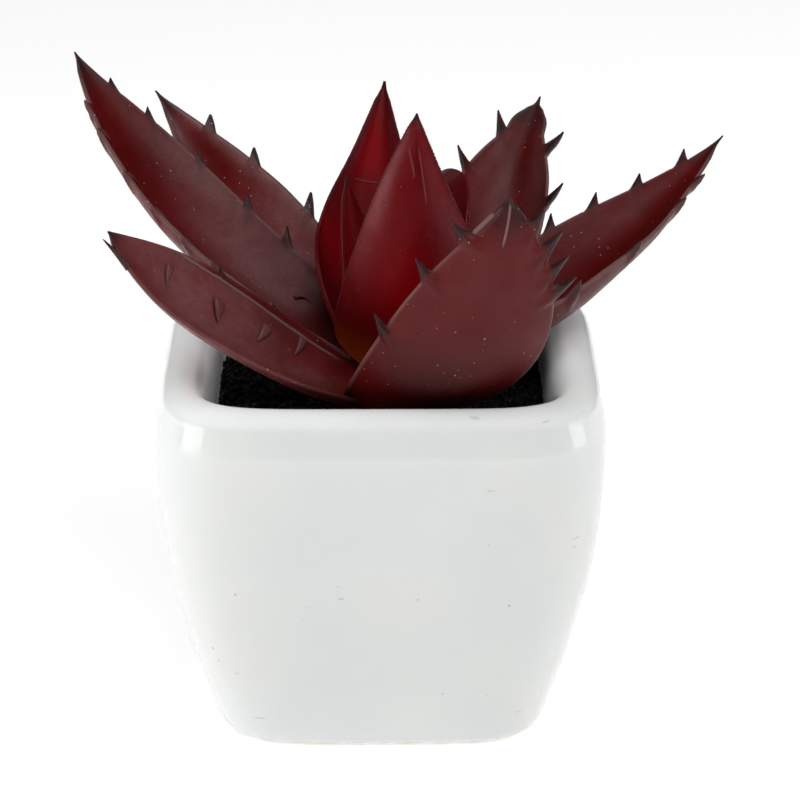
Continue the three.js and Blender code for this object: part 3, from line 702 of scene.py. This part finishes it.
def leaf_thorns(leaf, s, across, top, bottom, face, outward, along):
    """Each welt, claw, mark and spike of a leaf: its points, faces, stations and values for the material."""
    def spot(grid, places):
        return on_face(grid, s, across, places)

    # Welts and claws get the bloom with painted sheen; welts on outer leaves also the margin's painted
    # highlight.
    for sign, half_width, places in leaf.get("welts", ()):
        at = dense(places, THORN_RINGS * 2)
        taper = np.clip(np.sin(np.linspace(0, np.pi, len(at))) * WELT_FULLNESS, WELT_END, 1)
        yield (*thorn(spot(top if sign > 0 else bottom, at), spot(face, at) * sign,
                      half_width * taper, half_width * WELT_HEIGHT * taper),
               at[:, 0], {"bloom": 1.0, "rim": 0.0 if leaf.get("inner") else WELT_HIGHLIGHT})
    for key, colouring in (("claws", {"bloom": 1.0}), ("marks", {"shade": MARK_SHADE})):
        for half_width, places in leaf.get(key, ()):
            at = dense(places, THORN_RINGS)
            up = spot(face, at)
            run = np.linspace(0, 1, len(at))
            width = half_width * np.sqrt(np.clip(run / CLAW_ROOT, 0.02, 1)) * (1.03 - run) ** CLAW_TAPER
            lift = CLAW_LIFT * half_width * smoothstep(run / 0.5) * (1.05 - run) ** 0.3
            path = spot(top, at) + up * (lift * CLAW_SUNK)[:, None]
            yield (*thorn(path, up, width, np.maximum(CLAW_HEIGHT * width, 0.05)),
                   at[:, 0], {"tooth": CLAW_DARK, **colouring})
    for place, length, lean, radius in leaf.get("spikes", ()):
        root = spot((top + bottom) / 2, [place])
        out, up, forward = (spot(grid, [place]) for grid in (outward, face, along + 0 * outward))
        run = np.linspace(0, 1, THORN_RINGS * 2)[:, None]
        bend = math.radians(lean) * (1 - SPIKE_BEND * run)
        step = (out * np.cos(bend) + forward * np.sin(bend)) * length / (len(run) - 1)
        path = root - step[:1] * SPIKE_SUNK + np.cumsum(step, 0)
        power, share = SPIKE_TAPER
        taper = (1 - run[:, 0]) ** power * share + 0.07
        yield (*thorn(path, up + 0 * path, radius * taper, radius * SPIKE_HEIGHT * taper),
               place[0] + SPIKE_SPREAD * run[:, 0], {"tooth": SPIKE_DARK, "bloom": 1.0})


def raise_teeth(leaf, s, across, inset, outward, along, half_depth):
    """How far each place moves to make the teeth, its new half-depth, the roots' ridges and the darkness."""
    shift = np.zeros(half_depth.shape + (3,))
    ridge = np.zeros_like(half_depth)
    dark = np.zeros_like(half_depth)
    sharpness = leaf.get("sharpness", TOOTH_SHARPNESS)
    for sign, teeth, darkness in zip((1, -1), leaf["teeth"], leaf.get("darkness", (1, 1))):
        this_side = np.sign(across) == sign
        for station, length, lean in teeth:
            lean = math.radians(lean)
            x = (s[:, None] - station) * leaf["length"]
            base = TOOTH_HALF_BASE * min(1, TOOTH_LEAST_BASE + length / TOOTH_FULL_LENGTH)
            rise = np.minimum(TOOTH_BLUNTING * np.clip(1 - np.abs(x) / base, 0, 1) ** sharpness, 1)
            fade = np.clip(1 - inset / TOOTH_REACH_IN, 0, 1) ** TOOTH_FADE_POWER * this_side
            share = rise * fade
            reach = length * share
            shift += (outward * math.cos(lean) + along * math.sin(lean)) * reach[..., None]
            shift += along * (TOOTH_HOOK * length * share ** 2)[..., None]

            out = reach - inset
            half = base * (1 - (np.clip(out / length, 0, 1) / TOOTH_BLUNTING) ** (1 / sharpness))
            round_share = np.sqrt(np.clip(1 - (x / np.maximum(half, TINY)) ** 2, 0, 1))
            thin = np.clip(half / TOOTH_THIN_BELOW, 0, 1) ** TOOTH_THIN_POWER
            thick = np.maximum(TOOTH_HALF_THICKNESS * thin * round_share, TOOTH_LEAST_THICKNESS)
            blend = rising(out, -TOOTH_BLEND, 2 * TOOTH_BLEND) * this_side * (rise > 0)
            half_depth = half_depth * (1 - blend) + thick * blend

            trail = x + inset * math.tan(lean) * TOOTH_ROOT_LEAN
            root = np.exp(-(trail / TOOTH_ROOT_WIDTH) ** 2) * np.clip(1 - inset / TOOTH_ROOT_LENGTH, 0, 1)
            root = root * this_side
            ridge = np.maximum(ridge, TOOTH_ROOT_HEIGHT * root * (1 - blend))
            dark = np.maximum(dark, darkness * rising(out, *TOOTH_DARK) * blend)
            dark = np.maximum(dark, TOOTH_ROOT_DARKNESS * darkness * root)
    return shift, half_depth, ridge, dark


def serration(leaf, s, inset, width):
    """How far the fine saw along an inner leaf's margin stands out at each place."""
    rng = np.random.default_rng(SERRATION_SEED)
    count = int(leaf["length"] / SERRATION_PITCH) + 2
    drift, turns = SERRATION_DRIFT
    nick = s * leaf["length"] / SERRATION_PITCH + drift * np.sin(s * turns)
    sizes = rng.uniform(*SERRATION_SIZES, count)[np.clip(nick, 0, count - 1).astype(int)]
    saw = np.abs(nick % 1 - 0.5) * 2 * sizes
    share = np.clip(1 - inset / SERRATION_DEPTH, 0, 1) * np.clip(width / SERRATION_FULL_WIDTH, 0, 1)
    return leaf["serration"] * saw[:, None] * (share * rising(s[:, None], *SERRATION_FROM))


def leaf_values(leaf, station, across, inset, tooth):
    """The numbers that colour a blade at each place."""
    dark_from = leaf.get("dark_from", INNER_DARK_FROM if leaf.get("inner") else DARK_FROM)
    # painted shade in deep red, in patches and along a flange's margin
    deep_shade = patches(leaf, "deep_shade", station, across)
    if "flange" in leaf:
        end, fade = FLANGE_END
        deep_shade = np.maximum(deep_shade, (across < leaf["flange"]) * smoothstep((end - station) / fade))
    return {
        "tip": rising(station, dark_from, 1 - dark_from),
        "tooth": tooth,
        # the base's amber colour and its painted glow
        "amber_glow": leaf.get("amber_glow", 0) * smoothstep(1 - station / AMBER_GLOW_REACH),
        "shade": patches(leaf, "shade", station, across),
        "rim": np.clip(1 - inset / RIM_WIDTH, 0, 1) * leaf.get("edge", RIM_STRENGTH),
        "deep_shade": deep_shade,
        # the dusty bloom with painted sheen
        "bloom": patches(leaf, "bloom", station, across),
        # painted light coming through the leaf
        "through_light": patches(leaf, "through_light", station, across),
    }


def make_leaf(leaf, material):
    s = stations(leaf)
    station = s[:, None]
    columns = np.array([-c for c in COLUMNS[:0:-1]] + COLUMNS)
    across = columns[None, :]
    point, along, side, normal = (a[:, None, :] for a in midrib(leaf, s))
    width = half_width_at(leaf, s)[:, None]
    half_angle = np.radians(between(leaf["channel"], s))[:, None]
    angle = across * half_angle
    sine, cosine = np.sin(angle), np.cos(angle)
    radius = width / half_angle
    upper = point + side * (radius * sine)[..., None] + normal * (radius * (1 - cosine))[..., None]
    face = normal * cosine[..., None] - side * sine[..., None]
    outward = (side * cosine[..., None] + normal * sine[..., None]) * np.sign(across)[..., None]
    fullness = np.clip(width / leaf["half_width"], 0, 1) ** THICKNESS_POWER
    edge = EDGE_THICKNESS * np.clip(width / EDGE_FADE_WIDTH, EDGE_LEAST, 1)
    half_depth = (leaf["thickness"] * (1 - across ** 2) * fullness + edge) / 2
    middle = upper - face * half_depth[..., None]
    inset = width * (1 - np.abs(across))  # distance inside the margin

    shift, half_depth, ridge, tooth = raise_teeth(leaf, s, across, inset, outward, along, half_depth)
    if leaf.get("serration"):
        shift += outward * serration(leaf, s, inset, width)[..., None]
    x, y, z = (middle[..., i:i + 1] for i in range(3))
    wave = (WAVE_HEIGHTS[0] * np.sin(x * 0.33 + z * 0.21 + leaf["length"])
            + WAVE_HEIGHTS[1] * np.sin(y * 0.47 - x * 0.29))
    middle = middle + shift + face * wave * (1 - np.clip(WAVE_FADE_WIDTH / width, 0, 1))[..., None]
    top = middle + face * half_depth[..., None]
    bottom = middle - face * (half_depth + ridge)[..., None]
    margin = middle + outward * (half_depth * EDGE_BULGE)[..., None]
    ring = np.concatenate([bottom, margin[:, -1:], top[:, ::-1], margin[:, :1]], 1)

    def round_ring(a):
        a = np.broadcast_to(a, inset.shape)
        return np.concatenate([a, a[:, -1:], a[:, ::-1], a[:, :1]], 1)

    faces = tube_faces(*ring.shape[:2])
    values = {key: round_ring(value).ravel()
              for key, value in leaf_values(leaf, station, across, inset, tooth).items()}
    uv = np.stack([round_ring(across * 0.5 + 0.5), round_ring(station)], -1).reshape(-1, 2)
    points = [ring.reshape(-1, 3)]
    total = len(points[0])
    thorns = leaf_thorns(leaf, s, columns, top, bottom, face, outward, along)
    for more, more_faces, place, colouring in thorns:
        points.append(more)
        faces += [[total + i for i in f] for f in more_faces]
        total += len(more)
        place = np.repeat(place, THORN_SIDES)
        values = {key: np.concatenate([value, 0 * place + colouring.get(key, 0.0)])
                  for key, value in values.items()}
        uv = np.vstack([uv, np.stack([0.5 + 0 * place, place], -1)])
    return make_mesh(leaf["name"] + "_blade", np.vstack(points), faces, material, values=values, uv=uv)


# ------------------------------------------------------------------ studio

WORLD_HORIZON = 0.56
WORLD_ZENITH = 0.16
WORLD_HAZE = 0.55  # more light just above the floor, so that no dark line divides them in a reflection
WORLD_FALL_END = 0.6  # sine of the elevation where the horizon's light has faded, and the haze
WORLD_HAZE_END = 0.45
FLOOR_LIGHT = 1.85
FLOOR_SIZE = 6.0
LIGHT_AIM = (0, 0, 0.06)
CLIPPING = (0.01, 20)
# Azimuth, elevation, distance, width, height and radiance
SOFTBOXES = {
    "softbox_right": (62, 32, 1.2, 0.75, 0.6, 3.1),
    "softbox_left": (-78, 8, 1.2, 0.8, 0.6, 5.9),
    "softbox_top": (8, 52, 1.3, 0.9, 0.6, 3.4),
    "softbox_back": (150, 70, 1.4, 0.6, 0.6, 4.4),
}
POT_FILLS = {  # The pot's own: wide lights that it doesn't mirror
    "pot_fill_right": (62, 32, 1.2, 0.75, 0.6, 1.0),
    "pot_fill_left": (-78, 8, 1.2, 0.8, 0.6, 3.2),
    "pot_fill_high": (-85, 42, 1.2, 1.2, 1.0, 2.0),
    "pot_fill_top": (8, 52, 1.3, 0.9, 0.6, 3.1),
}
POT_PAST_LEAVES = {  # The same, and leaves don't shade them
    "pot_over_left": (-85, 58, 1.2, 1.2, 1.0, 0.3),
    "pot_over_right": (85, 62, 1.2, 1.2, 1.0, 2.6),
}
POT_WINDOWS = {  # The two that show as bright corners in its glaze
    "pot_window_left": (-70, 3, 1.2, 0.72, 0.22, 2.6),
    "pot_window_right": (86, 3, 1.2, 0.6, 0.22, 2.6),
}


def direction(azimuth, elevation):
    """Unit vector towards an azimuth from the camera's side, to the right, and an elevation."""
    a, e = math.radians(azimuth), math.radians(elevation)
    return Vector((math.sin(a) * math.cos(e), -math.cos(a) * math.cos(e), math.sin(e)))


def softbox(name, azimuth, elevation, distance, width, height, radiance):
    """A soft rectangular light that faces the pot. Radiance 1 looks white in the picture."""
    light = bpy.data.lights.new(name, "AREA")
    light.shape = "RECTANGLE"
    light.size, light.size_y = width, height
    light.energy = radiance * math.pi * width * height
    lamp = add_object(name, light)
    aim = Vector(LIGHT_AIM)
    lamp.location = aim + direction(azimuth, elevation) * distance
    lamp.rotation_euler = (lamp.location - aim).to_track_quat("Z", "Y").to_euler()
    return lamp


def make_floor():
    n = Nodes("floor_paper")
    n.principled(Base_Color=n.mix(n.noise(0.01), *FLOOR_COLOURS), Specular_IOR_Level=0.0,
                 Roughness=n.ramp(n.noise(0.05), 0.3, 0.7, 0.8, 0.95))
    corners = [(x * FLOOR_SIZE, y * FLOOR_SIZE, 0) for x, y in ((-1, -1), (1, -1), (1, 1), (-1, 1))]
    mesh = bpy.data.meshes.new("floor")
    mesh.from_pydata(corners, [], [(0, 1, 2, 3)])
    mesh.materials.append(n.material)
    floor = add_object("floor", mesh)
    return floor


def make_camera():
    back = Vector((0, -math.cos(CAMERA_ELEVATION), math.sin(CAMERA_ELEVATION)))
    up = Vector((0, math.sin(CAMERA_ELEVATION), math.cos(CAMERA_ELEVATION)))
    target = Vector((0, 0, CAMERA_TARGET_HEIGHT * MM))
    aim = target + Vector((AIM_RIGHT * MM, 0, 0)) + up * AIM_UP * MM
    data = bpy.data.cameras.new("camera")
    data.sensor_width = SENSOR_WIDTH
    data.lens = LENS
    data.clip_start, data.clip_end = CLIPPING
    camera = add_object("camera", data)
    camera.location = target + back * CAMERA_DISTANCE * MM
    camera.rotation_euler = (camera.location - aim).to_track_quat("Z", "Y").to_euler()
    bpy.context.scene.camera = camera


def link_light(lamp, target, state="INCLUDE", shaded=False):
    """Makes a light reach only one object, or all but that one. Unless shaded, only the target shades it."""
    chosen = bpy.data.collections.new(lamp.name + "_target")
    chosen.objects.link(target)
    chosen.collection_objects[0].light_linking.link_state = state
    lamp.light_linking.receiver_collection = chosen
    if not shaded:
        lamp.light_linking.blocker_collection = chosen


def make_world():
    """Pale surroundings: brightest at the horizon, with more light just above the floor."""
    world = bpy.data.worlds.new("studio")
    bpy.context.scene.world = world
    world.use_nodes = True
    nodes, links = world.node_tree.nodes, world.node_tree.links
    split = nodes.new("ShaderNodeSeparateXYZ")
    links.new(nodes.new("ShaderNodeTexCoord").outputs["Generated"], split.inputs[0])
    total = nodes.new("ShaderNodeMath")
    parts = (("SMOOTHSTEP", WORLD_FALL_END, WORLD_HORIZON, WORLD_ZENITH),
             ("LINEAR", WORLD_HAZE_END, WORLD_HAZE, 0.0))
    for slot, (kind, end, low, high) in enumerate(parts):
        light = nodes.new("ShaderNodeMapRange")
        light.interpolation_type = kind
        for key, value in (("From Max", end), ("To Min", low), ("To Max", high)):
            light.inputs[key].default_value = value
        links.new(split.outputs["Z"], light.inputs["Value"])
        links.new(light.outputs["Result"], total.inputs[slot])
    links.new(total.outputs[0], nodes["Background"].inputs["Strength"])


def make_studio(floor, pot):
    bpy.context.scene.view_settings.view_transform = "Standard"
    make_world()
    for name, values in SOFTBOXES.items():
        link_light(softbox(name, *values), pot, "EXCLUDE", shaded=True)
    for group, shaded, mirrored in ((POT_FILLS, True, False), (POT_PAST_LEAVES, False, False),
                                    (POT_WINDOWS, True, True)):
        for name, values in group.items():
            lamp = softbox(name, *values)
            lamp.visible_glossy = mirrored
            link_light(lamp, pot, shaded=shaded)

    sun = bpy.data.lights.new("floor_light", "SUN")
    sun.energy = FLOOR_LIGHT
    link_light(add_object("floor_light", sun), floor)


# ------------------------------------------------------------------ assembly

make_camera()
pot = make_pot(glaze_material())
make_studio(make_floor(), pot)
soil = make_soil(soil_material())
for piece, node, slot in ((pot, "pot", "glaze"), (soil, "soil", "soil")):
    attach(piece, "root")
    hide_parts(node)

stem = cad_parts["stem"]
stem.data.materials.clear()
stem.data.materials.append(stem_material())

outer_material = leaf_material("leaf_burgundy", False)
inner_material = leaf_material("leaf_crimson", True)
for leaf in LEAVES:
    inner = leaf.get("inner", False)
    blade = make_leaf(leaf, inner_material if inner else outer_material)
    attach(blade, "root")
    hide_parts(leaf["name"])
